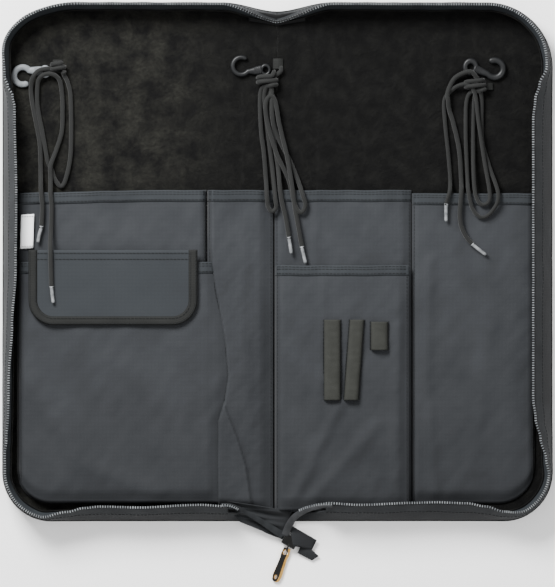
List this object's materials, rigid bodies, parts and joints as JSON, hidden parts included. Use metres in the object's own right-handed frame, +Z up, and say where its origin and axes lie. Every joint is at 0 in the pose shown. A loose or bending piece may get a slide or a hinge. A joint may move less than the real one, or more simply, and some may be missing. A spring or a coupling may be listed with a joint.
{
  "type": "drum stick bag",
  "caption": "Soft zip-up stick bag laid open like a book: fleece-lined padded covers, sewn stick pockets, a flap pocket, elastic loops and hanging hooks on cords.",
  "frame": {"origin": "underside of the spine, at its centre between the two fold lines", "axes": "+Z up from the table through the open bag, +Y to the bag's top where the hooks are, +X to the right cover"},
  "size_m": [0.505, 0.5331, 0.0343],
  "materials": {
    "nylon": "woven charcoal nylon",
    "fleece": "dark brown-black short pile",
    "foam": "closed-cell sheet foam",
    "webbing": "ribbed binding tape",
    "zip_tape": "woven zip tape",
    "zip_teeth": "nylon coil",
    "elastic": "woven elastic",
    "cord": "braided bootlace",
    "aglet": "crimped end sleeve",
    "hook_plastic": "moulded plastic",
    "hook_and_loop": "hook-and-loop",
    "label": "white satin label",
    "zip_slider": "black enamel",
    "zip_puller": "black enamel worn to brass at the edges"
  },
  "bodies": {
    "spine": {"centre_cord_tab": "webbing", "centre_hank": "cord", "centre_long_aglet": "aglet", "centre_long_tail": "cord", "centre_short_aglet": "aglet", "centre_short_tail": "cord", "spine_lining": "fleece", "spine_outer_panel": "nylon", "spine_padding": "foam", "spine_pocket": "nylon", "spine_pocket_sheet": "nylon", "zip_end_tab": "zip_tape", "zip_tail_left": "zip_tape", "zip_tail_right": "zip_tape", "zip_top_end": "zip_tape"},
    "left_cover": {"left_cord_tab": "webbing", "left_gusset": "nylon", "left_hank": "cord", "left_inner_binding": "webbing", "left_lining": "fleece", "left_long_aglet": "aglet", "left_long_tail": "cord", "left_outer_panel": "nylon", "left_padding": "foam", "left_short_aglet": "aglet", "left_short_tail": "cord", "left_stick_pocket": "nylon", "left_zip_tape": "zip_tape", "left_zip_teeth": "zip_teeth", "spine_pocket_side": "nylon", "accessory_pocket": "nylon", "flap_loop_patch": "hook_and_loop", "care_label": "label"},
    "right_cover": {"right_cord_tab": "webbing", "right_gusset": "nylon", "right_hank": "cord", "right_inner_binding": "webbing", "right_lining": "fleece", "right_long_aglet": "aglet", "right_long_tail": "cord", "right_outer_panel": "nylon", "right_padding": "foam", "right_short_aglet": "aglet", "right_short_tail": "cord", "right_stick_pocket": "nylon", "right_zip_tape": "zip_tape", "right_zip_teeth": "zip_teeth", "centre_right_pocket": "nylon", "tool_pocket": "nylon", "long_elastic_loop_1": "elastic", "long_elastic_loop_2": "elastic", "short_elastic_loop": "elastic"},
    "flap": {"accessory_flap": "nylon", "flap_binding": "webbing", "flap_hook_patch": "hook_and_loop"},
    "left_hook": {"left_hook": "hook_plastic"},
    "centre_hook": {"centre_hook": "hook_plastic"},
    "right_hook": {"right_hook": "hook_plastic"},
    "zip_slider": {"zip_slider": "zip_slider"},
    "zip_puller": {"zip_puller": "zip_puller"}
  },
  "joints": [
    {"name": "left_cover_fold", "type": "hinge", "parent": "spine", "child": "left_cover", "pos_m": [-0.035, 0, 0], "axis": [0, 1, 0], "range_deg": [0, 90]},
    {"name": "right_cover_fold", "type": "hinge", "parent": "spine", "child": "right_cover", "pos_m": [0.035, 0, 0], "axis": [0, -1, 0], "range_deg": [0, 90], "deforming": ["centre_hank", "centre_long_aglet", "centre_long_tail", "centre_short_aglet", "centre_short_tail"]},
    {"name": "accessory_flap_open", "type": "hinge", "parent": "left_cover", "child": "flap", "pos_m": [-0.15, 0.011, 0.0206], "axis": [-1, 0, 0], "range_deg": [0, 180], "deforming": ["left_long_tail", "left_long_aglet"]},
    {"name": "left_hook_lift", "type": "hinge", "parent": "left_cover", "child": "left_hook", "pos_m": [-0.2081, 0.175, 0.0093], "axis": [0, 1, 0], "range_deg": [0, 90]},
    {"name": "centre_hook_lift", "type": "hinge", "parent": "spine", "child": "centre_hook", "pos_m": [-0.0056, 0.1765, 0.0093], "axis": [0, 1, 0], "range_deg": [0, 90]},
    {"name": "right_hook_lift", "type": "hinge", "parent": "right_cover", "child": "right_hook", "pos_m": [0.1731, 0.179, 0.0093], "axis": [0, -1, 0], "range_deg": [0, 90]},
    {"name": "zip_slider_slide", "type": "slide", "parent": "spine", "child": "zip_slider", "axis": [0.867, -0.4983, 0], "range_m": [0, 0.005]},
    {"name": "zip_puller_swing", "type": "hinge", "parent": "zip_slider", "child": "zip_puller", "pos_m": [0.009, -0.26506, 0.0017], "axis": [-0.9371, 0.3489, 0], "range_deg": [0, 100]}
  ],
  "couplings": [
    {"joint": "centre_hook_lift", "follows": "left_cover_fold", "ratio": 1}
  ]
}
